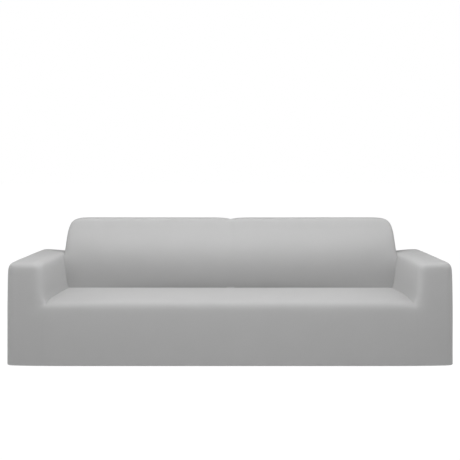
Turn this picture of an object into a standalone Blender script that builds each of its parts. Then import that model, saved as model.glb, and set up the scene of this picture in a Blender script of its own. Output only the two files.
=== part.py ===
"""A stretch slipcover for a long sofa with box arms, in the shape it takes when it is pulled over the sofa.

The sofa itself is not here: the cover is a hollow sheet of knitted cloth, open underneath. It is sewn from
nine panels that meet at the creases and edges of the sofa, and its gathered elastic hem turns in under the
base. Metres, +Z up, +Y towards the back, origin on the floor at the middle of the footprint.
"""

import math

import bmesh
import bpy
from mathutils import Vector

# Driving dimensions of the covered sofa.
WIDTH = 2.70
DEPTH = 0.93
HEIGHT = 0.84
ARM_HEIGHT = 0.620
SEAT_HEIGHT = 0.374
SEAT_DEPTH = 0.65
ARM_WIDTH = 0.22

# The cloth and its sewing.
CLOTH = 0.0025
SEAM_INSET = 0.0002
HEM_RETURN = 0.092
HEM_CASING = 0.028
HEM_CORNER = 0.21
HEM_FOLD = 0.005
GATHER_STEP = 0.0145
GATHER_RISE = 0.009

# Distance from an edge of the sofa to the next line of the cage: it sets how soft that edge is.
SOFT_EDGE = 0.075
TOP_EDGE = 0.08
ROLL_UNDER = 0.04
SMOOTHING = 1

CLOTH_COLOUR = (0.40, 0.40, 0.40, 1.0)
CLOTH_ROUGHNESS = 0.85

HALF_WIDTH = WIDTH / 2
FRONT = -DEPTH / 2
BACK = DEPTH / 2
ARM_IN = HALF_WIDTH - ARM_WIDTH
REST_FRONT = FRONT + SEAT_DEPTH

PANELS = (
    "seat_panel", "front_panel", "arm_panel_left", "arm_panel_right", "backrest_panel", "backrest_top",
    "backrest_end_left", "backrest_end_right", "back_panel",
)
SEAT, SKIRT, ARM_LEFT, ARM_RIGHT, REST, REST_TOP, REST_END_LEFT, REST_END_RIGHT, REAR = range(len(PANELS))

# Lines of the plan, half of them across (the other half is mirrored), then front to back.
ACROSS_HALF = (0.0, 0.06, 0.16, 0.60, ARM_IN - 0.10, ARM_IN, ARM_IN + 0.07, HALF_WIDTH - 0.07, HALF_WIDTH)
ACROSS = tuple(-x for x in reversed(ACROSS_HALF[1:])) + ACROSS_HALF
ALONG = (FRONT, FRONT + SOFT_EDGE, -0.10, REST_FRONT, REST_FRONT + 0.085, BACK - 0.08, BACK)

# Heights at which each storey of the cage ends.
BASE_LEVELS = (0.15, SEAT_HEIGHT - SOFT_EDGE, SEAT_HEIGHT)
ARM_LEVELS = (SEAT_HEIGHT + ROLL_UNDER, ARM_HEIGHT - SOFT_EDGE, ARM_HEIGHT)
REST_LEVELS = (ARM_HEIGHT + 0.075, HEIGHT - TOP_EDGE, HEIGHT)

# How far the backrest's front stands behind its lowest front line, at each height: it bellies out, then leans.
LEAN = (
    {"z": SEAT_HEIGHT, "back": 0.030},
    {"z": SEAT_HEIGHT + ROLL_UNDER, "back": 0.0},
    {"z": ARM_HEIGHT - SOFT_EDGE, "back": 0.011},
    {"z": ARM_HEIGHT, "back": 0.032},
    {"z": ARM_HEIGHT + 0.075, "back": 0.068},
    {"z": HEIGHT - TOP_EDGE, "back": 0.115},
    {"z": HEIGHT, "back": 0.167},
)

# Half the backrest's breadth at each height.
BREADTH = (
    {"z": SEAT_HEIGHT, "half": ARM_IN - 0.015},
    {"z": ARM_HEIGHT, "half": ARM_IN + 0.020},
    {"z": HEIGHT - TOP_EDGE, "half": ARM_IN + 0.012},
    {"z": HEIGHT, "half": ARM_IN - 0.020},
)

# How far the seat's front stands behind the foremost line, at each height: it rolls over softly.
FRONT_ROLL = (
    {"z": 0.0, "back": 0.0},
    {"z": 0.15, "back": 0.0},
    {"z": SEAT_HEIGHT - SOFT_EDGE, "back": 0.010},
    {"z": SEAT_HEIGHT, "back": 0.022},
)


def between(rows, at, value, where):
    """The value in the rows' column at this place, straight between rows and level past the ends."""
    if where <= rows[0][at]:
        return rows[0][value]
    for low, high in zip(rows, rows[1:]):
        if where <= high[at]:
            share = (where - low[at]) / (high[at] - low[at])
            return low[value] + share * (high[value] - low[value])
    return rows[-1][value]


def near(a, b):
    return abs(a - b) < 1e-4


def ease(share):
    """0 to 1 with a soft start and end."""
    share = min(1.0, max(0.0, share))
    return share * share * (3 - 2 * share)


# ---- the cage -------------------------------------------------------------------------------------------


def plan(bm):
    """A flat grid on the plan's lines."""
    columns, rows = len(ACROSS) - 1, len(ALONG) - 1
    bmesh.ops.create_grid(bm, x_segments=columns, y_segments=rows, size=1.0)
    for v in bm.verts:
        i = round((v.co.x + 1) / 2 * columns)
        j = round((v.co.y + 1) / 2 * rows)
        v.co = (ACROSS[i], ALONG[j], 0.0)


def raise_to(bm, faces, z):
    """Extrudes these faces up to height z and gives the faces that are then on top."""
    made = bmesh.ops.extrude_face_region(bm, geom=faces)["geom"]
    bmesh.ops.delete(bm, geom=faces, context="FACES")
    tops = [f for f in made if isinstance(f, bmesh.types.BMFace)]
    for v in {v for f in tops for v in f.verts}:
        v.co.z = z
    return tops


def over_arms_or_rest(face):
    centre = face.calc_center_median()
    return abs(centre.x) > ARM_IN or centre.y > REST_FRONT


def over_rest(face):
    centre = face.calc_center_median()
    return abs(centre.x) < ARM_IN and centre.y > REST_FRONT


def block_out():
    """The sofa's block shape as a cage of quads, open underneath, built up storey by storey from the plan."""
    bm = bmesh.new()
    plan(bm)
    tops = list(bm.faces)
    for z in BASE_LEVELS:
        tops = raise_to(bm, tops, z)
    tops = [f for f in tops if over_arms_or_rest(f)]
    for z in ARM_LEVELS:
        tops = raise_to(bm, tops, z)
    tops = [f for f in tops if over_rest(f)]
    for z in REST_LEVELS:
        tops = raise_to(bm, tops, z)
    bmesh.ops.recalc_face_normals(bm, faces=bm.faces)
    if sum(f.normal.z * f.calc_area() for f in bm.faces) < 0:
        bmesh.ops.reverse_faces(bm, faces=bm.faces)
    return bm


def panel_of(face):
    """The panel that a face of the block shape belongs to."""
    centre = face.calc_center_median()
    left = centre.x < 0
    if near(centre.y, BACK):
        return REAR
    if abs(centre.x) > ARM_IN + 0.001:
        return ARM_LEFT if left else ARM_RIGHT
    if near(centre.y, FRONT):
        return SKIRT
    if near(abs(centre.x), ARM_IN) and centre.z < ARM_HEIGHT:
        return ARM_LEFT if left else ARM_RIGHT
    if near(abs(centre.x), ARM_IN):
        return REST_END_LEFT if left else REST_END_RIGHT
    if near(centre.z, SEAT_HEIGHT):
        return SEAT
    return REST_TOP if near(centre.z, HEIGHT) else REST


def crease_of(edge):
    """How sharp an edge of the block shape stays when it is smoothed: 1 where the cloth is tucked in."""
    a, b = (v.co for v in edge.verts)
    middle = (a + b) / 2
    on_arm_line = near(abs(a.x), ARM_IN) and near(abs(b.x), ARM_IN)
    if near(a.z, SEAT_HEIGHT) and near(b.z, SEAT_HEIGHT):
        if near(a.y, REST_FRONT) and near(b.y, REST_FRONT) and abs(middle.x) < ARM_IN:
            return 1.0
        if on_arm_line and middle.y < REST_FRONT:
            return 1.0
    if on_arm_line and near(a.y, REST_FRONT) and near(b.y, REST_FRONT):
        return 1.0 if SEAT_HEIGHT < middle.z < ARM_HEIGHT else 0.0
    if on_arm_line and near(a.z, ARM_HEIGHT) and near(b.z, ARM_HEIGHT) and middle.y > REST_FRONT:
        return 1.0
    return 0.0


# ---- from block shape to stretched shape ----------------------------------------------------------------


def on_rest(p):
    """Whether a point of the block shape lies on the backrest or on the line where it meets the seat."""
    return abs(p.x) < ARM_IN + 0.001 and p.y > REST_FRONT - 0.001 and p.z > SEAT_HEIGHT - 0.001


def lean_back(p):
    """The backrest's lines move back as it leans, most at its front and not at all at its rear."""
    share = (BACK - p.y) / (BACK - REST_FRONT)
    ends = 0.028 * ease((abs(p.x) - 0.70) / (ARM_IN - 0.70))
    belly = 0.0 if near(p.z, SEAT_HEIGHT) else ends
    return share * (between(LEAN, "z", "back", p.z) + belly)


def meeting_of_cushions(p):
    """How strongly a point feels the place where the two cushions meet, 1 on the middle line."""
    return max(0.0, 1 - abs(p.x) / 0.16) ** 2


def settled(p):
    """Where a point of the block shape lies once the cloth is pulled over the sofa."""
    q = p.copy()
    side = math.copysign(1.0, p.x)
    if on_rest(p):
        q.y += lean_back(p)
        if abs(p.x) > ARM_IN - 0.11:
            q.x += side * (between(BREADTH, "z", "half", p.z) - ARM_IN)
        if p.z > ARM_HEIGHT + 0.01:
            top = ease((p.z - ARM_HEIGHT) / (HEIGHT - ARM_HEIGHT))
            q.z -= 0.013 * top * meeting_of_cushions(p)
            q.y += 0.006 * top * meeting_of_cushions(p) if p.y < BACK - 0.01 else 0.0
    elif near(abs(p.x), ARM_IN) and p.z > SEAT_HEIGHT - 0.001:
        toward_rest = ease((p.y - FRONT) / SEAT_DEPTH)
        q.x += side * toward_rest * (between(BREADTH, "z", "half", p.z) - ARM_IN)
    if abs(p.x) < ARM_IN - 0.01 and near(p.y, FRONT):
        q.y += between(FRONT_ROLL, "z", "back", p.z)
    if near(p.z, SEAT_HEIGHT) and abs(p.x) < ARM_IN + 0.001 and FRONT + 0.01 < p.y < REST_FRONT + 0.001:
        crown = 1 - (abs(p.x) / ARM_IN) ** 4
        q.z += 0.010 * crown - 0.006 - 0.005 * meeting_of_cushions(p)
    if near(p.y, FRONT) or near(p.y, BACK):
        bow = ease((abs(p.x) - ARM_IN) / ARM_WIDTH)
        q.y -= math.copysign(0.016 * bow, p.y)
    if near(abs(p.x), HALF_WIDTH):
        q.x -= side * 0.003 * ease((p.z - 0.3) / (ARM_HEIGHT - 0.3))
    if near(p.y, FRONT) and near(abs(p.x), ARM_IN) and near(p.z, SEAT_HEIGHT):
        q.z -= 0.030
    if near(p.z, ARM_HEIGHT) and near(abs(p.x), ARM_IN) and p.y > REST_FRONT - 0.001:
        q.z -= 0.018 if near(p.y, BACK) else 0.008
    if p.z > ARM_HEIGHT - 0.001 and abs(p.x) > ARM_IN + 0.001:
        q.z -= 0.004 * ease((p.y - REST_FRONT) / (BACK - REST_FRONT))
    return q


def stretched_surface():
    """The outside of the cover above its hem: the cage, settled and smoothed. A face's material is its panel."""
    bm = block_out()
    crease = bm.edges.layers.float.new("crease_edge")
    for edge in bm.edges:
        edge[crease] = crease_of(edge)
    for face in bm.faces:
        face.material_index = panel_of(face)
    places = {v: settled(v.co) for v in bm.verts}
    for v, place in places.items():
        v.co = place
    cage = bpy.data.meshes.new("cover_cage")
    bm.to_mesh(cage)
    bm.free()
    holder = bpy.data.objects.new("cover_cage", cage)
    bpy.context.scene.collection.objects.link(holder)
    smoothing = holder.modifiers.new("smoothing", "SUBSURF")
    smoothing.levels = smoothing.render_levels = SMOOTHING
    surface = bmesh.new()
    surface.from_object(holder, bpy.context.evaluated_depsgraph_get())
    bpy.data.objects.remove(holder)
    bpy.data.meshes.remove(cage)
    return surface


# ---- the hem --------------------------------------------------------------------------------------------


def hem_edges(bm):
    return [e for e in bm.edges if e.is_boundary]


def divide_hem(bm):
    """Splits the lowest edges into steps of about a quarter of a gather."""
    for edge in hem_edges(bm):
        cuts = max(1, round(edge.calc_length() / GATHER_STEP)) - 1
        if cuts:
            bmesh.ops.subdivide_edges(bm, edges=[edge], cuts=cuts)


def round_the_hem(bm):
    """The lowest points in order round the cover, starting at the middle of the front."""
    start = min((v for v in bm.verts if v.is_boundary), key=lambda v: (v.co.y, abs(v.co.x)))
    loop, here, last = [start], start, None
    while True:
        ahead = [e for e in here.link_edges if e.is_boundary and e is not last]
        last = max(ahead, key=lambda e: e.other_vert(here).co.x) if here is start else ahead[0]
        here = last.other_vert(here)
        if here is start:
            return loop
        loop.append(here)


def hem_point(p, share, rise):
    """A point of the hem this share of the way from the fold to the inner edge, which cuts across corners."""
    core = Vector((
        max(-(HALF_WIDTH - HEM_CORNER), min(HALF_WIDTH - HEM_CORNER, p.x)),
        max(-(BACK - HEM_CORNER), min(BACK - HEM_CORNER, p.y)),
        0.0,
    ))
    out = Vector((p.x, p.y, 0.0)) - core
    reach = out.length + share * (HEM_CORNER - HEM_RETURN - out.length)
    place = core + out.normalized() * reach
    place.z = rise
    return place


def gather(index, count):
    """How far a gather lifts the cloth at this step round the hem: one ridge in four steps, none quite alike."""
    turn = 2 * math.pi * index / count
    uneven = 0.80 + 0.14 * math.sin(23 * turn) + 0.06 * math.sin(61 * turn + 1.0)
    return GATHER_RISE * uneven * (0.0, 0.5, 1.0, 0.5)[index % 4]


def add_hem(bm):
    """Turns the cloth in under the base and gathers it along the elastic at its inner edge."""
    divide_hem(bm)
    outline = round_the_hem(bm)
    fold = {v: v.co.copy() for v in outline}
    for v in outline:
        v.co.z = HEM_FOLD
    rings = (
        {"share": HEM_FOLD / HEM_RETURN, "gathered": 0.0},
        {"share": 1 - HEM_CASING / HEM_RETURN, "gathered": 1.0},
        {"share": 1.0, "gathered": 1.0},
    )
    above = outline
    for ring in rings:
        edges = [e for e in hem_edges(bm) if e.verts[0] in above and e.verts[1] in above]
        panel = {e: e.link_faces[0].material_index for e in edges}
        made = bmesh.ops.extrude_edge_only(bm, edges=edges)["geom"]
        below = {}
        for face in (g for g in made if isinstance(g, bmesh.types.BMFace)):
            face.material_index = next(panel[e] for e in face.edges if e in panel)
            for e in face.edges:
                upper = [v for v in e.verts if v in fold and v in above]
                lower = [v for v in e.verts if v not in fold]
                if len(upper) == 1 and len(lower) == 1:
                    below[upper[0]] = lower[0]
        for index, v in enumerate(above):
            lower = below[v]
            lift = ring["gathered"] * gather(index, len(above))
            lower.co = hem_point(fold[v], ring["share"], lift)
        for v in above:
            fold[below[v]] = fold[v]
        above = [below[v] for v in above]
    bmesh.ops.recalc_face_normals(bm, faces=bm.faces)


# ---- the panels -----------------------------------------------------------------------------------------


def inner_points(bm):
    """Numbers the points, and tells where the cloth's inner face lies behind each, an even thickness away."""
    bm.normal_update()
    number = bm.verts.layers.int.new("number")
    points = []
    for v in bm.verts:
        v[number] = len(points)
        points.append(v.co - v.normal * v.calc_shell_factor() * CLOTH)
    return points


def mark_seams(bm):
    for edge in bm.edges:
        edge.seam = len({f.material_index for f in edge.link_faces}) > 1


def step_in_from_seams(v):
    """The small step from a seam into the panel's own cloth, so that two sewn panels don't touch."""
    step = Vector()
    for edge in v.link_edges:
        if edge.seam and edge.is_boundary:
            a, b = (w.co for w in edge.verts)
            along = (b - a).normalized()
            inward = edge.link_faces[0].calc_center_median() - (a + b) / 2
            step += (inward - along * inward.dot(along)).normalized()
    return step.normalized() * SEAM_INSET if step.length > 0 else step


def split_cut_edge(bm, inner, number):
    """Splits the four-sided faces of the cut edge the same way in both panels of a seam, so that they stay apart."""
    walls = [f for f in bm.faces if 0 < sum(v in inner for v in f.verts) < len(f.verts)]
    for face in walls:
        low = min((v for v in face.verts if v not in inner), key=lambda v: v[number])
        high = max((v for v in face.verts if v in inner), key=lambda v: v[number])
        bmesh.utils.face_split(face, low, high)


def cut_panel(surface, inside, panel):
    """One panel as a closed solid: its outer face, its inner face and the cut edge all round."""
    bm = surface.copy()
    others = [f for f in bm.faces if f.material_index != panel]
    bmesh.ops.delete(bm, geom=others, context="FACES")
    number = bm.verts.layers.int["number"]
    steps = {v[number]: step_in_from_seams(v) for v in bm.verts}
    made = bmesh.ops.extrude_face_region(bm, geom=list(bm.faces))["geom"]
    inner = {g for g in made if isinstance(g, bmesh.types.BMVert)}
    for v in bm.verts:
        place = inside[v[number]] if v in inner else v.co
        v.co = place + steps[v[number]]
    split_cut_edge(bm, inner, number)
    bmesh.ops.recalc_face_normals(bm, faces=bm.faces)
    for face in bm.faces:
        face.material_index = 0
        face.smooth = True
    mesh = bpy.data.meshes.new(PANELS[panel])
    bm.to_mesh(mesh)
    bm.free()
    mesh.set_sharp_from_angle(angle=math.radians(50))
    return mesh


def cloth_material():
    material = bpy.data.materials.new("stretch_jersey")
    material.use_nodes = True
    shader = material.node_tree.nodes["Principled BSDF"]
    shader.inputs["Base Color"].default_value = CLOTH_COLOUR
    shader.inputs["Roughness"].default_value = CLOTH_ROUGHNESS
    shader.inputs["Metallic"].default_value = 0.0
    return material


def main():
    for obj in list(bpy.data.objects):
        bpy.data.objects.remove(obj)
    cover = bpy.data.collections.new("sofa_slipcover")
    bpy.context.scene.collection.children.link(cover)
    material = cloth_material()
    surface = stretched_surface()
    add_hem(surface)
    mark_seams(surface)
    inside = inner_points(surface)
    for panel, name in enumerate(PANELS):
        mesh = cut_panel(surface, inside, panel)
        mesh.materials.append(material)
        cover.objects.link(bpy.data.objects.new(name, mesh))
    surface.free()


main()
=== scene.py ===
"""A stretch slipcover pulled over a long box-arm sofa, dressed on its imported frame.

The cover is one stretched surface: a block shape of the sofa whose lines are moved to where the cloth pulls
them, smoothed into the shape that knitted cloth takes. The gathered elastic hem turns in under the base. The
surface is then cut into the sewn pieces, and each becomes a closed sheet of jersey.
Metres, +Z up, +Y towards the back, origin on the floor at the middle of the footprint.
"""

import math

import bmesh
import bpy
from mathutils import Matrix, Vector, noise


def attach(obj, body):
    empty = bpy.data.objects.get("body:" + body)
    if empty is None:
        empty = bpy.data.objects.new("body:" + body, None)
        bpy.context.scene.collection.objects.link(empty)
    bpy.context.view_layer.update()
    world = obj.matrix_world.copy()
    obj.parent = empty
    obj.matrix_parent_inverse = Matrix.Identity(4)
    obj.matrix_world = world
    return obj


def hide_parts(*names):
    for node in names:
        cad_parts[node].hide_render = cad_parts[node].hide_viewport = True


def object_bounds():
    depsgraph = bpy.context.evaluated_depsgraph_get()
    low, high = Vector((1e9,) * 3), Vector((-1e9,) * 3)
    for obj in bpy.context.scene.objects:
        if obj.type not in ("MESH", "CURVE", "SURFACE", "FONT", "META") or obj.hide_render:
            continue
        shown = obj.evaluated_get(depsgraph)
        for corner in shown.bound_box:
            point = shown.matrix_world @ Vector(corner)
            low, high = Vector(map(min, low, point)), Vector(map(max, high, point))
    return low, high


bl_info = {
    "name": "Stretch Sofa Slipcover",
    "version": (1, 0, 0),
    "blender": (4, 5, 0),
    "location": "3D View > Sidebar > Slipcover",
    "description": "Makes a fitted stretch slipcover for a long sofa, piece by piece, and a studio round it",
    "category": "Add Mesh",
}

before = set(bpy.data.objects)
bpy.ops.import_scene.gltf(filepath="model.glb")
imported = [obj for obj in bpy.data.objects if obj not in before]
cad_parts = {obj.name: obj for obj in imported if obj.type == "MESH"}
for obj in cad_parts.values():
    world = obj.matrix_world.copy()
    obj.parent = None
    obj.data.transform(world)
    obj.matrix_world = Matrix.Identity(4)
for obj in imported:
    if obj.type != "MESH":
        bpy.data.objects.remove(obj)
CAD_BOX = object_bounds()

BODY = "root"
KNIT = "jersey_knit"
CLOTH_LAYER = "cloth"
SEAM_TUCK_LAYER = "seam"
SURFACE = "cover_surface"


def frame_size(axis):
    """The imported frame's size along this axis."""
    low, high = CAD_BOX
    return high[axis] - low[axis]


# ---- what a user may change --------------------------------------------------------------------------------


class SLIPCOVER_PG_sofa(bpy.types.PropertyGroup):
    """Sizes of the sofa that the cover is pulled over."""

    width: bpy.props.FloatProperty(
        name="Width", description="Over the arms", default=frame_size(0), unit="LENGTH"
    )
    depth: bpy.props.FloatProperty(
        name="Depth", description="From front to back", default=frame_size(1), unit="LENGTH"
    )
    height: bpy.props.FloatProperty(
        name="Height", description="From the floor to the top of the backrest",
        default=frame_size(2), unit="LENGTH",
    )
    arm_height: bpy.props.FloatProperty(
        name="Arm Height", description="From the floor to the top of the arms", default=0.620, unit="LENGTH"
    )
    arm_width: bpy.props.FloatProperty(
        name="Arm Width", description="Across one arm", default=0.22, unit="LENGTH"
    )
    seat_height: bpy.props.FloatProperty(
        name="Seat Height", description="From the floor to the seat", default=0.374, unit="LENGTH"
    )
    seat_depth: bpy.props.FloatProperty(
        name="Seat Depth", description="From the seat's front to the backrest", default=0.65, unit="LENGTH"
    )


class SLIPCOVER_PG_cloth(bpy.types.PropertyGroup):
    """The knitted cloth and its sewing."""

    colour: bpy.props.FloatVectorProperty(
        name="Colour", description="Colour of the jersey", default=(0.43, 0.43, 0.43), size=3,
        min=0.0, max=1.0, subtype="COLOR",
    )
    thickness: bpy.props.FloatProperty(
        name="Thickness", description="Thickness of the cloth", default=0.002, unit="LENGTH"
    )
    wale: bpy.props.FloatProperty(
        name="Wale", description="Width of one column of stitches", default=0.0016, unit="LENGTH"
    )
    course: bpy.props.FloatProperty(
        name="Course", description="Height of one row of stitches", default=0.0012, unit="LENGTH"
    )
    seam_depth: bpy.props.FloatProperty(
        name="Seam Depth", description="How deep a seam sinks into the cloth", default=0.0005, unit="LENGTH"
    )
    hem_return: bpy.props.FloatProperty(
        name="Hem Return", description="How far the hem turns in under the base", default=0.092, unit="LENGTH"
    )
    casing: bpy.props.FloatProperty(
        name="Elastic Casing", description="Width of the gathered casing of the hem's elastic",
        default=0.028, unit="LENGTH",
    )
    gather: bpy.props.FloatProperty(
        name="Gather", description="Width of one small gather in the casing", default=0.0096, unit="LENGTH"
    )
    smoothing: bpy.props.IntProperty(
        name="Smoothing", description="Subdivision levels of the stretched surface", default=3, min=1, max=4
    )


class SLIPCOVER_PG_studio(bpy.types.PropertyGroup):
    """Camera, floor and lights."""

    camera_distance: bpy.props.FloatProperty(
        name="Camera Distance", description="From the cover's front to the camera", default=4.73,
        unit="LENGTH",
    )
    camera_height: bpy.props.FloatProperty(
        name="Camera Height", description="From the floor to the camera", default=1.173, unit="LENGTH"
    )
    lens: bpy.props.FloatProperty(
        name="Lens", description="Focal length on a sensor 36 mm wide", default=61.92,
        subtype="DISTANCE_CAMERA",
    )
    floor_colour: bpy.props.FloatVectorProperty(
        name="Floor Colour", description="Colour of the studio floor", default=(1.0, 1.0, 1.0), size=3,
        min=0.0, max=1.0, subtype="COLOR",
    )


# ---- the block shape ---------------------------------------------------------------------------------------

# Distance from an edge of the sofa to the next line of the block shape: it sets how soft that edge is.
SOFT_EDGE = 0.065
FRONT_EDGE = 0.12
FRONT_DROP = 0.06
ARM_ROLL = 0.095
ARM_DROP = 0.095
TOP_EDGE = 0.06
ROLL_UNDER = 0.04
REST_EDGE = 0.085
REST_END = 0.10
REAR_EDGE = 0.08
SHOULDER = 0.075

# The block shape's other lines: beside the middle line, over each cushion, over the seat and on the skirt.
MEETING_NEAR = 0.025
MEETING_FAR = 0.08
CUSHION_COLUMNS = (0.20, 0.60)
SEAT_ROW = -0.10
SKIRT_LEVEL = 0.15

# Places this close are one line of the block shape, and a point this far beyond a line is past it.
SAME_LINE = 1e-4
PAST_LINE = 0.001

# How sharp an edge stays when the block shape is smoothed: where the cloth is tucked in, and where it dips.
TUCKED = 1.0
SOFT_TUCK = 0.6

PIECES = range(5)
SEAT, ARM_LEFT, ARM_RIGHT, REST, REAR = PIECES


def near(a, b):
    """Whether two places are on the same line of the block shape."""
    return abs(a - b) < SAME_LINE


def ease(share):
    """0 to 1 with a soft start and end."""
    share = min(1.0, max(0.0, share))
    return share * share * (3 - 2 * share)


def between(rows, where):
    """The value at this place in rows of (place, value), straight between rows and level past the ends."""
    if where <= rows[0][0]:
        return rows[0][1]
    for low, high in zip(rows, rows[1:]):
        if where <= high[0]:
            share = (where - low[0]) / (high[0] - low[0])
            return low[1] + share * (high[1] - low[1])
    return rows[-1][1]


class SofaLines:
    """The planes and heights of the sofa under the cover, from its sizes."""

    def __init__(self, sofa):
        self.half = sofa.width / 2
        self.front = -sofa.depth / 2
        self.back = sofa.depth / 2
        self.top = sofa.height
        self.arm_top = sofa.arm_height
        self.arm_width = sofa.arm_width
        self.arm_in = self.half - sofa.arm_width
        self.seat = sofa.seat_height
        self.rest = self.front + sofa.seat_depth
        across = (0.0, MEETING_NEAR, MEETING_FAR, *CUSHION_COLUMNS, self.arm_in - REST_END, self.arm_in)
        across += (self.arm_in + ARM_ROLL, self.half - SOFT_EDGE, self.half)
        self.across = tuple(-x for x in reversed(across[1:])) + across
        self.along = (self.front, self.front + FRONT_EDGE, SEAT_ROW, self.rest)
        self.along += (self.rest + REST_EDGE, self.back - REAR_EDGE, self.back)
        self.base_levels = (SKIRT_LEVEL, self.seat - FRONT_DROP, self.seat)
        self.arm_levels = (self.seat + ROLL_UNDER, self.arm_top - ARM_DROP, self.arm_top)
        self.rest_levels = (self.arm_top + SHOULDER, self.top - TOP_EDGE, self.top)
        # How far the backrest's front stands behind its foremost line: it bellies out, then leans.
        self.lean = (
            (self.seat, 0.005),
            (self.seat + ROLL_UNDER, 0.0),
            (self.arm_top - ARM_DROP, 0.001),
            (self.arm_top, 0.022),
            (self.arm_top + SHOULDER, 0.065),
            (self.top - TOP_EDGE, 0.127),
            (self.top, 0.160),
        )
        # How much of their full rounding the backrest's ends have, by height.
        self.rounded_ends = ((self.seat, 0.0), (self.seat + ROLL_UNDER, 0.5), (self.arm_top, 1.0))
        # Half the backrest's breadth, by height.
        self.breadth = (
            (self.seat, self.arm_in - 0.030),
            (self.seat + ROLL_UNDER, self.arm_in - 0.018),
            (self.arm_top - ARM_DROP, self.arm_in - 0.004),
            (self.arm_top, self.arm_in + 0.015),
            (self.top - TOP_EDGE, self.arm_in + 0.006),
            (self.top, self.arm_in - 0.027),
        )
        # How far the seat's front stands behind its foremost line: it rolls over softly.
        self.front_roll = ((SKIRT_LEVEL, 0.0), (self.seat - FRONT_DROP, 0.010), (self.seat, 0.022))
        # How far the cover's front draws back, and inwards, where the seat meets an arm.
        self.corner_back = (
            (self.seat - FRONT_DROP, 0.004),
            (self.seat, 0.022),
            (self.seat + ROLL_UNDER, 0.004),
        )
        self.corner_in = (
            (SKIRT_LEVEL, 0.0),
            (self.seat - FRONT_DROP, 0.010),
            (self.seat, 0.024),
            (self.seat + ROLL_UNDER, 0.002),
        )
        # How far the seat cushion stands above the seat's height, from its front to the backrest.
        self.cushion = (
            (self.front, 0.006),
            (self.front + FRONT_EDGE, 0.013),
            (SEAT_ROW, 0.010),
            (self.rest, 0.0),
        )


def plan(bm, lines):
    """A flat grid on the plan's lines."""
    columns, rows = len(lines.across) - 1, len(lines.along) - 1
    bmesh.ops.create_grid(bm, x_segments=columns, y_segments=rows, size=1.0)
    for v in bm.verts:
        i = round((v.co.x + 1) / 2 * columns)
        j = round((v.co.y + 1) / 2 * rows)
        v.co = (lines.across[i], lines.along[j], 0.0)


def raise_to(bm, faces, z):
    """Extrudes these faces up to height z and gives the faces that are then on top."""
    made = bmesh.ops.extrude_face_region(bm, geom=faces)["geom"]
    bmesh.ops.delete(bm, geom=faces, context="FACES")
    tops = [f for f in made if isinstance(f, bmesh.types.BMFace)]
    for v in {v for f in tops for v in f.verts}:
        v.co.z = z
    return tops


def put_in_order(bm):
    """Orders the edges and faces by their points, because extruding leaves them in a new order each time."""
    bm.verts.index_update()
    for elements in (bm.edges, bm.faces):
        ordered = sorted(elements, key=lambda element: sorted(v.index for v in element.verts))
        for number, element in enumerate(ordered):
            element.index = number
        elements.sort()


def block_out(lines):
    """The sofa's block shape as a cage of quads, open underneath, built up storey by storey from the plan."""
    bm = bmesh.new()
    plan(bm, lines)
    tops = list(bm.faces)
    for z in lines.base_levels:
        tops = raise_to(bm, tops, z)
    centres = {f: f.calc_center_median() for f in tops}
    tops = [f for f in tops if abs(centres[f].x) > lines.arm_in or centres[f].y > lines.rest]
    for z in lines.arm_levels:
        tops = raise_to(bm, tops, z)
    centres = {f: f.calc_center_median() for f in tops}
    tops = [f for f in tops if abs(centres[f].x) < lines.arm_in and centres[f].y > lines.rest]
    for z in lines.rest_levels:
        tops = raise_to(bm, tops, z)
    put_in_order(bm)
    bmesh.ops.recalc_face_normals(bm, faces=bm.faces)
    if sum(f.normal.z * f.calc_area() for f in bm.faces) < 0:
        bmesh.ops.reverse_faces(bm, faces=bm.faces)
    return bm


def piece_of(face, lines):
    """The sewn piece that a face of the block shape belongs to."""
    centre = face.calc_center_median()
    arm = ARM_LEFT if centre.x < 0 else ARM_RIGHT
    if near(centre.y, lines.back):
        return REAR
    if abs(centre.x) > lines.arm_in + PAST_LINE:
        return arm
    if near(centre.y, lines.front):
        return SEAT
    if near(abs(centre.x), lines.arm_in):
        return arm if centre.z < lines.arm_top else REST
    return SEAT if near(centre.z, lines.seat) else REST


def crease_of(edge, lines):
    """How sharp an edge of the block shape stays when it is smoothed."""
    a, b = (v.co for v in edge.verts)
    middle = (a + b) / 2
    on_arm_line = near(abs(a.x), lines.arm_in) and near(abs(b.x), lines.arm_in)
    at_rest = near(a.y, lines.rest) and near(b.y, lines.rest)
    if near(a.z, lines.seat) and near(b.z, lines.seat):
        if at_rest and abs(middle.x) < lines.arm_in:
            return SOFT_TUCK if abs(middle.x) < MEETING_NEAR else TUCKED
        if on_arm_line and middle.y < lines.rest:
            return TUCKED
    if on_arm_line and at_rest:
        return TUCKED if lines.seat < middle.z < lines.arm_top else 0.0
    if on_arm_line and near(a.z, lines.arm_top) and near(b.z, lines.arm_top) and middle.y > lines.rest:
        return TUCKED
    if on_arm_line and near(a.y, lines.front) and near(b.y, lines.front):
        return SOFT_TUCK if lines.seat - FRONT_DROP < middle.z < lines.seat else 0.0
    if near(a.x, 0.0) and near(b.x, 0.0) and middle.z > lines.top - TOP_EDGE:
        return SOFT_TUCK
    return 0.0


def cloth_run(p, centre, normal, lines):
    """Where a corner of a block face lies on the cloth: across it, and along it from the hem upwards."""
    if abs(normal.y) > 0.5:
        return (p.x, p.z)
    round_the_side = math.copysign(lines.half, centre.x) + p.y - lines.front
    if abs(normal.x) > 0.5:
        inside_arm = abs(centre.x) < lines.half - PAST_LINE and centre.z < lines.arm_top
        return (round_the_side, 2 * lines.arm_top + lines.arm_width - p.z if inside_arm else p.z)
    if abs(centre.x) > lines.arm_in:
        return (round_the_side, lines.arm_top + lines.half - abs(p.x))
    return (p.x, p.z + p.y - (lines.front if centre.y < lines.rest else lines.rest))


# ---- from block shape to stretched shape -------------------------------------------------------------------

# How strongly the place where the two cushions meet is felt, by distance from the middle line.
MEETING = ((0.0, 1.0), (MEETING_NEAR, 0.46), (MEETING_FAR, 0.0))

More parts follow.
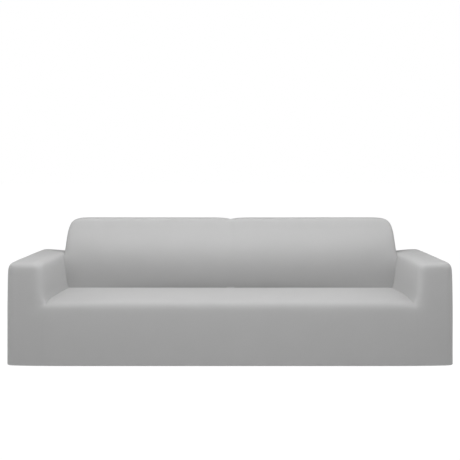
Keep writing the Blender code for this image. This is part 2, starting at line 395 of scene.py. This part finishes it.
# The backrest's ends round back, from this far out. Its top sinks, and dips and draws back at the meeting.
ENDS_FROM = 0.70
ENDS_BACK = 0.020
TOP_SINKS = 0.003
TOP_DIPS = 0.0125
TOP_DRAWS_BACK = 0.006

# The seat sinks at the meeting, towards the arms, and at its front corners and the points behind them.
SEAT_DIPS = 0.003
SEAT_SLOPES = 0.003
SLOPE_POWER = 4
CORNER_SINKS = 0.005
BEHIND_CORNER_SINKS = 0.006
BEHIND_CORNER_DRAWS_IN = 0.011

# An arm's ends bow in towards its outer side, which leans in from this height up.
ARM_BOW = 0.018
ARM_LEANS_FROM = 0.3
ARM_LEANS = 0.003

# An arm's front edge draws back, the line under it rises, and its outer corner draws in and sinks.
ARM_EDGE_DRAWS_BACK = 0.006
UNDER_ARM_EDGE_RISES = 0.025
OUTER_CORNER_DRAWS_IN = 0.005
OUTER_CORNER_SINKS = 0.006

# An arm's top sinks a little, more towards the back, and most along the backrest.
ARM_SINKS = 0.003
ARM_SLOPES = 0.002
ARM_SINKS_AT_REST = 0.013
ARM_SINKS_AT_REAR = 0.018
ARM_ROLL_SINKS = 0.004


def settle_backrest(p, q, side, lines):
    """Moves a point q of the backrest from its place p: the front bellies and leans, the top sinks."""
    meeting = between(MEETING, abs(p.x))
    ends = ENDS_BACK * ease((abs(p.x) - ENDS_FROM) / (lines.arm_in - ENDS_FROM))
    belly = ends * between(lines.rounded_ends, p.z)
    share = (lines.back - p.y) / (lines.back - lines.rest)
    q.y += share * (between(lines.lean, p.z) + belly)
    if abs(p.x) > lines.arm_in - REST_END - PAST_LINE:
        q.x += side * (between(lines.breadth, p.z) - lines.arm_in)
    if p.z > lines.arm_top + PAST_LINE:
        top = ease((p.z - lines.arm_top) / (lines.top - lines.arm_top))
        q.z -= top * (TOP_SINKS + TOP_DIPS * meeting)
        if p.y < lines.back - PAST_LINE:
            q.y += TOP_DRAWS_BACK * top * meeting


def settle_seat(p, q, side, lines):
    """Moves a point q from its place p for the seat: the front rolls over and the cushion stands up."""
    at_arm = near(abs(p.x), lines.arm_in)
    at_seat = near(p.z, lines.seat)
    if near(p.y, lines.front) and abs(p.x) < lines.arm_in - PAST_LINE:
        q.y += between(lines.front_roll, p.z)
    if at_seat and abs(p.x) < lines.arm_in + PAST_LINE and p.y < lines.rest + PAST_LINE:
        q.z += between(lines.cushion, p.y) - SEAT_DIPS * between(MEETING, abs(p.x))
        if not near(p.y, lines.rest):
            q.z -= SEAT_SLOPES * (abs(p.x) / lines.arm_in) ** SLOPE_POWER
    if at_arm and near(p.y, lines.front):
        q.y += between(lines.corner_back, p.z)
        q.x -= side * between(lines.corner_in, p.z)
        if at_seat:
            q.z -= CORNER_SINKS
    if at_arm and at_seat and near(p.y, lines.front + FRONT_EDGE):
        q.x -= side * BEHIND_CORNER_DRAWS_IN
        q.z -= BEHIND_CORNER_SINKS


def settle_arm(p, q, side, lines):
    """Moves a point q from its place p for an arm: its ends bow in and its outer side leans in."""
    at_front = near(p.y, lines.front)
    if at_front or near(p.y, lines.back):
        bow = ease((abs(p.x) - lines.arm_in) / lines.arm_width)
        q.y -= math.copysign(ARM_BOW * bow, p.y)
    if near(abs(p.x), lines.half):
        q.x -= side * ARM_LEANS * ease((p.z - ARM_LEANS_FROM) / (lines.arm_top - ARM_LEANS_FROM))
    if at_front and near(p.z, lines.arm_top - ARM_DROP):
        q.z += UNDER_ARM_EDGE_RISES


def settle_arm_top(p, q, side, lines):
    """Moves a point q of an arm's top from its place p: it sinks, most of all along the backrest."""
    if near(p.y, lines.front):
        q.y += ARM_EDGE_DRAWS_BACK
        if near(abs(p.x), lines.half):
            q.x -= side * OUTER_CORNER_DRAWS_IN
            q.z -= OUTER_CORNER_SINKS
    if p.y > lines.rest - PAST_LINE:
        if near(abs(p.x), lines.arm_in):
            q.z -= ARM_SINKS_AT_REAR if near(p.y, lines.back) else ARM_SINKS_AT_REST
        if near(abs(p.x), lines.arm_in + ARM_ROLL):
            q.z -= ARM_ROLL_SINKS
    q.z -= ARM_SINKS + ARM_SLOPES * ease((p.y - lines.rest) / (lines.back - lines.rest))


def settled(p, lines):
    """Where a point of the block shape lies once the cloth is pulled over the sofa."""
    q = p.copy()
    side = math.copysign(1.0, p.x)
    if p.z > lines.seat - PAST_LINE and abs(p.x) < lines.arm_in + PAST_LINE:
        if p.y > lines.rest - PAST_LINE:
            settle_backrest(p, q, side, lines)
        elif near(abs(p.x), lines.arm_in):
            toward_rest = ease((p.y - lines.front) / (lines.rest - lines.front))
            q.x += side * toward_rest * (between(lines.breadth, p.z) - lines.arm_in)
    settle_seat(p, q, side, lines)
    settle_arm(p, q, side, lines)
    if near(p.z, lines.arm_top) and abs(p.x) > lines.arm_in - PAST_LINE:
        settle_arm_top(p, q, side, lines)
    return q


def stretched_surface(lines, smoothing):
    """The outside of the cover above its hem. A face's material number is its sewn piece."""
    bm = block_out(lines)
    crease = bm.edges.layers.float.new("crease_edge")
    cloth = bm.loops.layers.uv.new(CLOTH_LAYER)
    for edge in bm.edges:
        edge[crease] = crease_of(edge, lines)
    for face in bm.faces:
        face.material_index = piece_of(face, lines)
        centre = face.calc_center_median()
        for loop in face.loops:
            loop[cloth].uv = cloth_run(loop.vert.co, centre, face.normal, lines)
    places = {v: settled(v.co, lines) for v in bm.verts}
    for v, place in places.items():
        v.co = place
    cage = bpy.data.meshes.new("cover_cage")
    bm.to_mesh(cage)
    bm.free()
    holder = bpy.data.objects.new("cover_cage", cage)
    bpy.context.scene.collection.objects.link(holder)
    modifier = holder.modifiers.new("smoothing", "SUBSURF")
    modifier.levels = modifier.render_levels = smoothing
    surface = bmesh.new()
    surface.from_object(holder, bpy.context.evaluated_depsgraph_get())
    bpy.data.objects.remove(holder)
    bpy.data.meshes.remove(cage)
    return surface


# ---- seams and hem -----------------------------------------------------------------------------------------

# The width of the strip that sinks along a seam, the share of its depth that a flush seam has, and the
# inward turn of the cloth at which it has all of it.
SEAM_WIDTH = 0.0012
FLUSH_SEAM = 0.2
FULL_TUCK = math.radians(60)


def how_tucked(edge):
    """1 where the cloth turns sharply inwards at this seam, less where the two pieces lie flush."""
    inwards = -edge.calc_face_angle_signed(0.0) / FULL_TUCK
    return min(1.0, max(FLUSH_SEAM, inwards))


def sink_seams(bm, depth):
    """A fine groove where two pieces are sewn together: a narrow strip along each edge, sunk at the seam."""
    bm.normal_update()
    seam_tuck = bm.verts.layers.float.new(SEAM_TUCK_LAYER)
    tucks = {}
    for edge in bm.edges:
        if len({f.material_index for f in edge.link_faces}) > 1:
            for v in edge.verts:
                tucks[v] = max(tucks.get(v, 0.0), how_tucked(edge))
    for piece in PIECES:
        faces = [f for f in bm.faces if f.material_index == piece]
        bmesh.ops.inset_region(
            bm, faces=faces, thickness=SEAM_WIDTH, use_even_offset=True, use_interpolate=True
        )
    bm.normal_update()
    for v, normal in [(v, v.normal.copy()) for v in tucks]:
        # Each seam point keeps its tuck; the jersey darkens by it, as a seam line plus painted crease shade.
        v[seam_tuck] = tucks[v]
        v.co -= normal * depth * tucks[v]


# The hem's fold (its radius), the reach of its rounded corners, the length of a step along it, and the steps
# across the fold, the plain return and the casing.
HEM_FOLD = 0.005
HEM_CORNER = 0.21
HEM_STEP = 0.0024
FOLD_STEPS = 4
RETURN_STEPS = 10
CASING_STEPS = 9

# The broad folds: width, height, evenness, and the share of them that dies out across the casing.
BROAD_FOLD = 0.058
BROAD_RISE = 0.0085
BROAD_EVEN = 0.78
CASING_FADE = 0.6

# The small gathers: height, evenness, and the share of the way to the stitch line after which they start.
SMALL_RISE = 0.0056
SMALL_EVEN = 0.88
SMALL_START = 0.55

# How much the line of stitches holds the folds down, and over what width.
PINCH = 0.55
PINCH_WIDTH = 0.0024

# How folds and gathers wander and differ round the hem, as rows of (amount, pace).
BROAD_DRIFT = ((0.9, 9.0), (0.5, 23.0))
BROAD_UNEVEN = ((0.25, 31.0),)
SMALL_DRIFT = ((1.5, 57.0),)
SMALL_UNEVEN = ((0.25, 171.0),)


def hem_edges(bm):
    """The edges round the open underside."""
    return [e for e in bm.edges if e.is_boundary]


def round_the_hem(bm):
    """The lowest points in order round the cover, starting at the middle of the front."""
    start = min((v for v in bm.verts if v.is_boundary), key=lambda v: (v.co.y, abs(v.co.x)))
    loop, here, last = [start], start, None
    while True:
        ahead = [e for e in here.link_edges if e.is_boundary and e is not last]
        last = max(ahead, key=lambda e: e.other_vert(here).co.x) if here is start else ahead[0]
        here = last.other_vert(here)
        if here is start:
            return loop
        loop.append(here)


def hem_place(fold_x, fold_y, inward, lines, hem_return):
    """The point this far in from the fold, on a route that cuts across the corners."""
    corner_x, corner_y = lines.half - HEM_CORNER, lines.back - HEM_CORNER
    core = Vector((max(-corner_x, min(corner_x, fold_x)), max(-corner_y, min(corner_y, fold_y)), 0.0))
    out = Vector((fold_x, fold_y, 0.0)) - core
    share = inward / hem_return
    reach = out.length + share * (HEM_CORNER - hem_return - out.length)
    return core + out.normalized() * reach


def wander(ring, rows):
    """A change round the hem that closes on itself, from rows of (amount, pace)."""
    return sum(amount * noise.noise(ring * pace) for amount, pace in rows)


def folds(turn, count, drift):
    """Folds round the hem, 0 in the hollows and 1 on the ridges."""
    return 0.5 - 0.5 * math.cos(2 * math.pi * round(count) * turn + drift)


def hem_rise(run, inward, length, cloth):
    """How high the turned-in cloth stands off the floor: broad soft folds that end in small tight gathers."""
    stitch_line = cloth.hem_return - cloth.casing
    turn = run / length
    ring = Vector((math.cos(2 * math.pi * turn), math.sin(2 * math.pi * turn), 0.0))
    broad = BROAD_RISE * (BROAD_EVEN + wander(ring, BROAD_UNEVEN))
    broad *= folds(turn, length / BROAD_FOLD, wander(ring, BROAD_DRIFT))
    small = SMALL_RISE * (SMALL_EVEN + wander(ring, SMALL_UNEVEN))
    small *= folds(turn, length / cloth.gather, wander(ring, SMALL_DRIFT))
    grown = ease((inward - 2 * HEM_FOLD) / (stitch_line - 2 * HEM_FOLD))
    fading = 1 - CASING_FADE * ease((inward - stitch_line) / cloth.casing)
    start = ease((inward - SMALL_START * stitch_line) / ((1 - SMALL_START) * stitch_line))
    pinch = 1 - PINCH * math.exp(-(((inward - stitch_line) / PINCH_WIDTH) ** 2))
    return grown * broad * fading * pinch + small * start ** 2 * pinch


def hem_steps(cloth):
    """How far in from the fold each ring of the hem lies."""
    stitch_line = cloth.hem_return - cloth.casing
    steps = [HEM_FOLD * (1 - math.cos(math.pi / 2 * i / FOLD_STEPS)) for i in range(1, FOLD_STEPS + 1)]
    steps += [HEM_FOLD + (stitch_line - HEM_FOLD) * i / RETURN_STEPS for i in range(1, RETURN_STEPS + 1)]
    steps += [stitch_line + cloth.casing * i / CASING_STEPS for i in range(1, CASING_STEPS + 1)]
    return steps


def add_hem(bm, lines, cloth):
    """Turns the cloth in under the base and gathers it along the elastic at its inner edge."""
    run_layer = bm.verts.layers.float.new("run")
    ring_layer = bm.verts.layers.float.new("ring")
    fold_x = bm.verts.layers.float.new("fold_x")
    fold_y = bm.verts.layers.float.new("fold_y")
    run_uv = bm.loops.layers.uv[CLOTH_LAYER]
    for edge in hem_edges(bm):
        cuts = max(1, round(edge.calc_length() / HEM_STEP)) - 1
        if cuts:
            bmesh.ops.subdivide_edges(bm, edges=[edge], cuts=cuts)
    outline = round_the_hem(bm)
    length = 0.0
    for here, after in zip(outline, outline[1:] + outline[:1]):
        here[run_layer] = length
        here[fold_x], here[fold_y] = here.co.x, here.co.y
        here.co.z = HEM_FOLD
        length += math.hypot(after.co.x - here.co.x, after.co.y - here.co.y)
    edges = hem_edges(bm)
    owner = {frozenset(e.verts): e.link_faces[0].material_index for e in edges}
    made = bmesh.ops.extrude_edge_only(bm, edges=edges)["geom"]
    inner = {g for g in made if isinstance(g, bmesh.types.BMVert)}
    steps = hem_steps(cloth)
    for v in inner:
        v[ring_layer] = len(steps)
    cross = []
    for face in (g for g in made if isinstance(g, bmesh.types.BMFace)):
        face.material_index = owner[frozenset(v for v in face.verts if v not in inner)]
        cross += [e for e in face.edges if len(inner & set(e.verts)) == 1]
    bmesh.ops.subdivide_edges(bm, edges=list(set(cross)), cuts=len(steps) - 1, use_grid_fill=True)
    for v in bm.verts:
        ring = round(v[ring_layer])
        if not ring:
            continue
        inward = steps[ring - 1]
        place = hem_place(v[fold_x], v[fold_y], inward, lines, cloth.hem_return)
        if ring < FOLD_STEPS:
            place.z = HEM_FOLD * (1 - math.sin(math.pi / 2 * ring / FOLD_STEPS))
        else:
            place.z = hem_rise(v[run_layer], inward, length, cloth)
        v.co = place
    for face in bm.faces:
        rings = [round(loop.vert[ring_layer]) for loop in face.loops]
        if not any(rings):
            continue
        runs = [loop.vert[run_layer] for loop in face.loops]
        closing = max(runs) - min(runs) > length / 2
        for loop, ring, run in zip(face.loops, rings, runs):
            run += length if closing and run < length / 2 else 0.0
            loop[run_uv].uv = (run, -steps[ring - 1] if ring else 0.0)
    bmesh.ops.recalc_face_normals(bm, faces=bm.faces)


# ---- small unevenness of the cloth -------------------------------------------------------------------------

# The waves' height, their two paces, the height above the floor where they start, and over what they grow.
WAVE = 0.0007
BROAD_WAVE = 3.1
FINE_WAVE = 7.7
FINE_WAVE_SHIFT = Vector((4.0, 1.0, 2.0))
WAVE_FROM = 0.02
WAVE_GROWS = 0.08


def breathe(bm):
    """Small soft unevenness, as cloth over padding has. It dies out towards seams and the hem."""
    bm.normal_update()
    seam_tuck = bm.verts.layers.float[SEAM_TUCK_LAYER]
    moves = []
    for v in bm.verts:
        if v[seam_tuck] > 0.0 or v.co.z < WAVE_FROM:
            continue
        away = ease((v.co.z - WAVE_FROM) / WAVE_GROWS)
        wave = noise.noise(v.co * BROAD_WAVE) + 0.5 * noise.noise(v.co * FINE_WAVE + FINE_WAVE_SHIFT)
        moves.append((v, v.normal * (WAVE * away * wave)))
    for v, move in moves:
        v.co += move


# ---- cutting the pieces ------------------------------------------------------------------------------------

# Faces that meet at more than this are shaded with a sharp edge between them.
SHARP_ANGLE = math.radians(60)


def inner_points(bm, thickness):
    """Numbers the points, and gives the place of the cloth's inner face behind each of them."""
    bm.normal_update()
    number = bm.verts.layers.int.new("number")
    points = []
    for v in bm.verts:
        v[number] = len(points)
        points.append(v.co - v.normal * v.calc_shell_factor() * thickness)
    return points


def cut_piece(surface, inside, piece, name):
    """One sewn piece as a closed sheet, with the area of its outer face."""
    bm = surface.copy()
    others = [f for f in bm.faces if f.material_index != piece]
    bmesh.ops.delete(bm, geom=others, context="FACES")
    area = sum(f.calc_area() for f in bm.faces)
    number = bm.verts.layers.int["number"]
    made = bmesh.ops.extrude_face_region(bm, geom=list(bm.faces))["geom"]
    for v in (g for g in made if isinstance(g, bmesh.types.BMVert)):
        v.co = inside[v[number]]
    bmesh.ops.recalc_face_normals(bm, faces=bm.faces)
    for face in bm.faces:
        face.material_index = 0
        face.smooth = True
    mesh = bpy.data.meshes.new(name)
    bm.to_mesh(mesh)
    bm.free()
    mesh.set_sharp_from_angle(angle=SHARP_ANGLE)
    return mesh, area


# ---- the jersey --------------------------------------------------------------------------------------------

# The slant of a stitch's legs, in courses, and the yarn's height along them: its mean and its swing.
STITCH_SLANT = 0.55
LOOP_HEIGHT = 0.75
LOOP_SWING = 0.25

# How fine the mottle, the heathered yarn and the fuzz are, and how much each thing changes the shade; the
# stitches' and seams' share of it is painted shade.
MOTTLE = 6.0
HEATHER = 420.0
FUZZ = 900.0
MOTTLE_SHADE = 0.05
HEATHER_SHADE = 0.10
# Darker in the knit's hollows and lighter on the yarn: painted shade of the stitches' relief.
PAINTED_STITCH_HOLLOW_SHADE = 0.10
# Darker along a seam, most where the cloth tucks in: a faint seam line plus painted crease shade.
SEAM_LINE_AND_PAINTED_CREASE_SHADE = 0.08

# The roughness in the hollows, how much less the yarn has, and the fuzz's share of the relief.
ROUGHNESS = 0.92
YARN_SMOOTHER = 0.08
FUZZ_RELIEF = 0.35


class Nodes:
    """Adds nodes to a material's tree and links them."""

    def __init__(self, tree):
        self.tree = tree

    def add(self, kind, **settings):
        node = self.tree.nodes.new(kind)
        for name, value in settings.items():
            setattr(node, name, value)
        return node

    def link(self, out, socket):
        self.tree.links.new(out, socket)

    def math(self, operation, *values):
        node = self.add("ShaderNodeMath", operation=operation)
        for socket, value in zip(node.inputs, values):
            if isinstance(value, (int, float)):
                socket.default_value = value
            else:
                self.link(value, socket)
        return node.outputs[0]

    def noise(self, place, scale, detail=2.0):
        node = self.add("ShaderNodeTexNoise")
        node.inputs["Scale"].default_value = scale
        node.inputs["Detail"].default_value = detail
        self.link(place, node.inputs["Vector"])
        return node.outputs["Fac"]


def stitch_height(nodes, cloth):
    """The knit's relief: columns of V-shaped stitches, 0 in the hollows and 1 on the yarn."""
    run = nodes.add("ShaderNodeUVMap", uv_map=CLOTH_LAYER)
    parts = nodes.add("ShaderNodeSeparateXYZ")
    nodes.link(run.outputs[0], parts.inputs[0])
    across = nodes.math("DIVIDE", parts.outputs["X"], cloth.wale)
    along = nodes.math("DIVIDE", parts.outputs["Y"], cloth.course)
    leg = nodes.math("MULTIPLY", nodes.math("PINGPONG", across, 0.5), 2.0)
    slanted = nodes.math("ADD", along, nodes.math("MULTIPLY", leg, STITCH_SLANT))
    turn = nodes.math("SINE", nodes.math("MULTIPLY", slanted, 2 * math.pi))
    yarn = nodes.math("SINE", nodes.math("MULTIPLY", leg, math.pi))
    loop = nodes.math("ADD", nodes.math("MULTIPLY", turn, LOOP_SWING), LOOP_HEIGHT)
    return nodes.math("MULTIPLY", yarn, loop)


def jersey(cloth):
    """Plain light grey stretch jersey: fine stitches, a soft bloom and a slight mottle of the yarn, with
    painted shade in the stitches' hollows and along tucked-in seams.
    """
    material = bpy.data.materials.get(KNIT)
    if material is not None:
        return material
    material = bpy.data.materials.new(KNIT)
    material.use_nodes = True
    tree = material.node_tree
    tree.nodes.clear()
    nodes = Nodes(tree)
    shader = nodes.add("ShaderNodeBsdfPrincipled")
    output = nodes.add("ShaderNodeOutputMaterial")
    nodes.link(shader.outputs[0], output.inputs["Surface"])
    shader.inputs["Metallic"].default_value = 0.0
    shader.inputs["Sheen Weight"].default_value = 0.10
    shader.inputs["Sheen Roughness"].default_value = 0.5
    shader.inputs["Specular IOR Level"].default_value = 0.2

    place = nodes.add("ShaderNodeTexCoord").outputs["Object"]
    height = stitch_height(nodes, cloth)
    # The seam points' tuck, which darkens the colour as painted crease shade.
    seam = nodes.add("ShaderNodeAttribute", attribute_name=SEAM_TUCK_LAYER).outputs["Fac"]
    mottle = nodes.noise(place, MOTTLE, detail=3.0)
    heather = nodes.noise(place, HEATHER, detail=1.0)

    shade = nodes.math("MULTIPLY_ADD", mottle, MOTTLE_SHADE, 1 - MOTTLE_SHADE / 2)
    shade = nodes.math("MULTIPLY_ADD", nodes.math("SUBTRACT", heather, 0.5), HEATHER_SHADE, shade)
    # Painted shade: the colour darkens in the knit's hollows, where the relief is low.
    shade = nodes.math("MULTIPLY_ADD", nodes.math("SUBTRACT", height, 0.5), PAINTED_STITCH_HOLLOW_SHADE, shade)
    # Painted crease shade: the colour darkens along seams by how far the cloth tucks in there, on top of a
    # faint seam line.
    shade = nodes.math("MULTIPLY_ADD", seam, -SEAM_LINE_AND_PAINTED_CREASE_SHADE, shade)
    colour = nodes.add("ShaderNodeVectorMath", operation="SCALE")
    colour.inputs[0].default_value = cloth.colour
    nodes.link(shade, colour.inputs["Scale"])
    nodes.link(colour.outputs[0], shader.inputs["Base Color"])

    rough = nodes.math("MULTIPLY_ADD", height, -YARN_SMOOTHER, ROUGHNESS)
    nodes.link(rough, shader.inputs["Roughness"])

    fuzz = nodes.noise(place, FUZZ)
    relief = nodes.math("MULTIPLY_ADD", fuzz, FUZZ_RELIEF, height)
    bump = nodes.add("ShaderNodeBump")
    bump.inputs["Strength"].default_value = 0.35
    bump.inputs["Distance"].default_value = 0.0002
    nodes.link(relief, bump.inputs["Height"])
    nodes.link(bump.outputs[0], shader.inputs["Normal"])
    return material


# ---- operators ---------------------------------------------------------------------------------------------


def shaped_surface():
    """The stretched surface that every piece is cut from."""
    mesh = bpy.data.meshes.get(SURFACE)
    if mesh is None:
        raise RuntimeError("shape the cover before its pieces are cut")
    bm = bmesh.new()
    bm.from_mesh(mesh)
    return bm


def sew_piece(context, piece, name, nodes):
    """Cuts one piece from the surface, gives it the jersey and puts it in place of its solids."""
    cloth = context.scene.slipcover_cloth
    surface = shaped_surface()
    inside = inner_points(surface, cloth.thickness)
    mesh, area = cut_piece(surface, inside, piece, name)
    surface.free()
    mesh.materials.append(jersey(cloth))
    obj = bpy.data.objects.new(name, mesh)
    context.scene.collection.objects.link(obj)
    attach(obj, BODY)
    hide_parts(*nodes)


class SLIPCOVER_OT_shape(bpy.types.Operator):
    """Pull one continuous surface of cloth over the sofa, with its seams and its gathered hem"""

    bl_idname = "slipcover.shape"
    bl_label = "Shape the Cover"

    def execute(self, context):
        cloth = context.scene.slipcover_cloth
        lines = SofaLines(context.scene.slipcover_sofa)
        bm = stretched_surface(lines, cloth.smoothing)
        sink_seams(bm, cloth.seam_depth)
        breathe(bm)
        add_hem(bm, lines, cloth)
        mesh = bpy.data.meshes.new(SURFACE)
        bm.to_mesh(mesh)
        bm.free()
        return {"FINISHED"}


class SLIPCOVER_OT_seat(bpy.types.Operator):
    """Cut the piece that covers the seat and drops over its front"""

    bl_idname = "slipcover.seat"
    bl_label = "Seat and Skirt"

    def execute(self, context):
        sew_piece(context, SEAT, "seat_and_skirt", ("seat_panel", "front_panel"))
        return {"FINISHED"}


class SLIPCOVER_OT_arms(bpy.types.Operator):
    """Cut the two pieces that cover the arms"""

    bl_idname = "slipcover.arms"
    bl_label = "Arm Covers"

    def execute(self, context):
        sew_piece(context, ARM_LEFT, "arm_cover_left", ("arm_panel_left",))
        sew_piece(context, ARM_RIGHT, "arm_cover_right", ("arm_panel_right",))
        return {"FINISHED"}


class SLIPCOVER_OT_backrest(bpy.types.Operator):
    """Cut the piece that covers the front, top and ends of the backrest"""

    bl_idname = "slipcover.backrest"
    bl_label = "Backrest Cover"

    def execute(self, context):
        nodes = ("backrest_panel", "backrest_top", "backrest_end_left", "backrest_end_right")
        sew_piece(context, REST, "backrest_cover", nodes)
        return {"FINISHED"}


class SLIPCOVER_OT_rear(bpy.types.Operator):
    """Cut the piece that hangs behind the sofa"""

    bl_idname = "slipcover.rear"
    bl_label = "Back Cover"

    def execute(self, context):
        sew_piece(context, REAR, "back_cover", ("back_panel",))
        return {"FINISHED"}


# ---- the studio --------------------------------------------------------------------------------------------

# The picture's side in pixels, and the row and column that the camera looks straight at.
PICTURE_SIZE = 460
HORIZON_ROW = 170.12
MIDDLE_COLUMN = 234.0
# How far to the right of the middle line the camera stands, and the breadth of its sensor in millimetres.
CAMERA_ASIDE = 0.024
SENSOR = 36.0

# The floor reaches this far each way and lies this far under the hem. Its shade, and how that varies.
FLOOR_REACH = 60.0
FLOOR_GAP = 0.0005
FLOOR_SHADE = 0.04
FLOOR_UNEVEN = 0.01
FLOOR_MOTTLE = 0.8

# Broad skylights come from an azimuth, counted from the front to the right, and a height, both in degrees.
SKYLIGHTS = (
    {"name": "sky_left", "azimuth": -90.0, "height": 50.0, "power": 0.52},
    {"name": "sky_right", "azimuth": 90.0, "height": 50.0, "power": 0.80},
    {"name": "sky_left_low", "azimuth": -90.0, "height": 15.0, "power": 0.32},
)
SKY_SPREAD = math.radians(60)

# Softboxes light the cover from above and in front, each arm's top, and the two sides of the front.
MIDDLE = (0.0, 0.0, 0.4)
STRIP = (3.2, 0.8)
SOFTBOXES = (
    {"name": "overhead", "place": (0.0, 0.0, 3.0), "aim": MIDDLE, "size": STRIP, "power": 15.0},
    {"name": "front_high", "place": (0.0, -0.5, 2.4), "aim": MIDDLE, "size": STRIP, "power": 16.0},
    {"name": "front_low", "place": (0.0, -1.2, 1.6), "aim": MIDDLE, "size": STRIP, "power": 13.5},
    {"name": "left_arm", "place": (-1.3, -0.2, 1.9), "aim": (-1.24, -0.2, 0.6), "size": (1, 1), "power": 4.0},
    {"name": "right_arm", "place": (1.3, -0.2, 1.9), "aim": (1.24, -0.2, 0.6), "size": (1, 1), "power": 4.0},
    {"name": "left", "place": (-2.4, -2.0, 2.2), "aim": (-0.6, 0.0, 0.4), "size": (1.5, 1.5), "power": 6.0},
    {"name": "right", "place": (2.4, -2.0, 2.2), "aim": (0.6, 0.0, 0.4), "size": (1.5, 1.5), "power": 3.0},
)


def add_camera(context):
    """A camera that looks straight to the back, with its picture shifted to frame the cover."""
    studio = context.scene.slipcover_studio
    data = bpy.data.cameras.new("camera")
    data.sensor_width = SENSOR
    data.lens = studio.lens
    data.shift_x = (PICTURE_SIZE / 2 - MIDDLE_COLUMN) / PICTURE_SIZE
    data.shift_y = (HORIZON_ROW - PICTURE_SIZE / 2) / PICTURE_SIZE
    camera = bpy.data.objects.new("camera", data)
    camera.location = (CAMERA_ASIDE, CAD_BOX[0][1] - studio.camera_distance, studio.camera_height)
    camera.rotation_euler = (math.radians(90), 0.0, 0.0)
    context.scene.collection.objects.link(camera)
    context.scene.camera = camera


def add_floor(context):
    """A pale floor that shines evenly, as a light table does, so that the cover throws no shadow on it."""
    studio = context.scene.slipcover_studio
    bm = bmesh.new()
    bmesh.ops.create_grid(bm, x_segments=1, y_segments=1, size=FLOOR_REACH)
    mesh = bpy.data.meshes.new("floor")
    bm.to_mesh(mesh)
    bm.free()
    material = bpy.data.materials.new("studio_floor")
    material.use_nodes = True
    nodes = Nodes(material.node_tree)
    shader = material.node_tree.nodes["Principled BSDF"]
    place = nodes.add("ShaderNodeTexCoord").outputs["Object"]
    shade = nodes.math("MULTIPLY_ADD", nodes.noise(place, FLOOR_MOTTLE), FLOOR_UNEVEN, FLOOR_SHADE)
    colour = nodes.add("ShaderNodeVectorMath", operation="SCALE")
    colour.inputs[0].default_value = studio.floor_colour
    nodes.link(shade, colour.inputs["Scale"])
    nodes.link(colour.outputs[0], shader.inputs["Base Color"])
    shader.inputs["Roughness"].default_value = 0.9
    shader.inputs["Specular IOR Level"].default_value = 0.0
    shader.inputs["Emission Color"].default_value = (*studio.floor_colour, 1.0)
    shader.inputs["Emission Strength"].default_value = 1.0
    mesh.materials.append(material)
    floor = bpy.data.objects.new("floor", mesh)
    floor.location.z = -FLOOR_GAP
    context.scene.collection.objects.link(floor)


def add_skylight(context, name, azimuth, height, power):
    """A broad soft light from the sky's side."""
    data = bpy.data.lights.new(name, "SUN")
    data.angle = SKY_SPREAD
    data.energy = power
    turn, tilt = math.radians(azimuth), math.radians(height)
    toward = Vector((math.sin(turn) * math.cos(tilt), -math.cos(turn) * math.cos(tilt), math.sin(tilt)))
    light = bpy.data.objects.new(name, data)
    light.rotation_euler = toward.to_track_quat("Z", "Y").to_euler()
    context.scene.collection.objects.link(light)


def add_softbox(context, name, place, aim, size, power):
    """A soft lamp that the camera doesn't see."""
    data = bpy.data.lights.new(name, "AREA")
    data.shape = "RECTANGLE"
    data.size, data.size_y = size
    data.energy = power
    light = bpy.data.objects.new(name, data)
    light.location = place
    light.rotation_euler = (Vector(aim) - Vector(place)).to_track_quat("-Z", "Y").to_euler()
    light.visible_camera = False
    context.scene.collection.objects.link(light)


def add_world(context):
    """A surround that the camera sees as white, and that adds no light of its own."""
    world = bpy.data.worlds.new("studio")
    context.scene.world = world
    world.use_nodes = True
    nodes = Nodes(world.node_tree)
    background = world.node_tree.nodes["Background"]
    background.inputs["Color"].default_value = (1.0, 1.0, 1.0, 1.0)
    nodes.link(nodes.add("ShaderNodeLightPath").outputs["Is Camera Ray"], background.inputs["Strength"])


class SLIPCOVER_OT_studio(bpy.types.Operator):
    """Set up a white studio with soft lights and the camera"""

    bl_idname = "slipcover.studio"
    bl_label = "Studio"

    def execute(self, context):
        add_camera(context)
        add_floor(context)
        for row in SKYLIGHTS:
            add_skylight(context, **row)
        for row in SOFTBOXES:
            add_softbox(context, **row)
        add_world(context)
        context.scene.view_settings.view_transform = "Standard"
        return {"FINISHED"}


class SLIPCOVER_PT_sidebar(bpy.types.Panel):
    """Lists the steps and the sizes"""

    bl_idname = "SLIPCOVER_PT_sidebar"
    bl_label = "Sofa Slipcover"
    bl_space_type = "VIEW_3D"
    bl_region_type = "UI"
    bl_category = "Slipcover"

    def draw(self, context):
        scene = context.scene
        for group in (scene.slipcover_sofa, scene.slipcover_cloth, scene.slipcover_studio):
            box = self.layout.box()
            for name in group.bl_rna.properties.keys():
                if name not in {"rna_type", "name"}:
                    box.prop(group, name)
        for step in STEPS:
            self.layout.operator(step.bl_idname)


STEPS = (
    SLIPCOVER_OT_studio,
    SLIPCOVER_OT_shape,
    SLIPCOVER_OT_seat,
    SLIPCOVER_OT_arms,
    SLIPCOVER_OT_backrest,
    SLIPCOVER_OT_rear,
)
GROUPS = {
    "slipcover_sofa": SLIPCOVER_PG_sofa,
    "slipcover_cloth": SLIPCOVER_PG_cloth,
    "slipcover_studio": SLIPCOVER_PG_studio,
}


def register():
    """Adds the classes and the scene's settings."""
    for cls in (*GROUPS.values(), *STEPS, SLIPCOVER_PT_sidebar):
        bpy.utils.register_class(cls)
    for name, group in GROUPS.items():
        setattr(bpy.types.Scene, name, bpy.props.PointerProperty(type=group))


def unregister():
    """Takes the settings and the classes away again."""
    for name in GROUPS:
        delattr(bpy.types.Scene, name)
    for cls in reversed((*GROUPS.values(), *STEPS, SLIPCOVER_PT_sidebar)):
        bpy.utils.unregister_class(cls)


def main():
    """Makes the whole cover in its studio."""
    register()
    bpy.ops.slipcover.studio()
    bpy.ops.slipcover.shape()
    bpy.ops.slipcover.seat()
    bpy.ops.slipcover.arms()
    bpy.ops.slipcover.backrest()
    bpy.ops.slipcover.rear()
    bpy.data.meshes.remove(bpy.data.meshes[SURFACE])


if __name__ == "__main__":
    main()
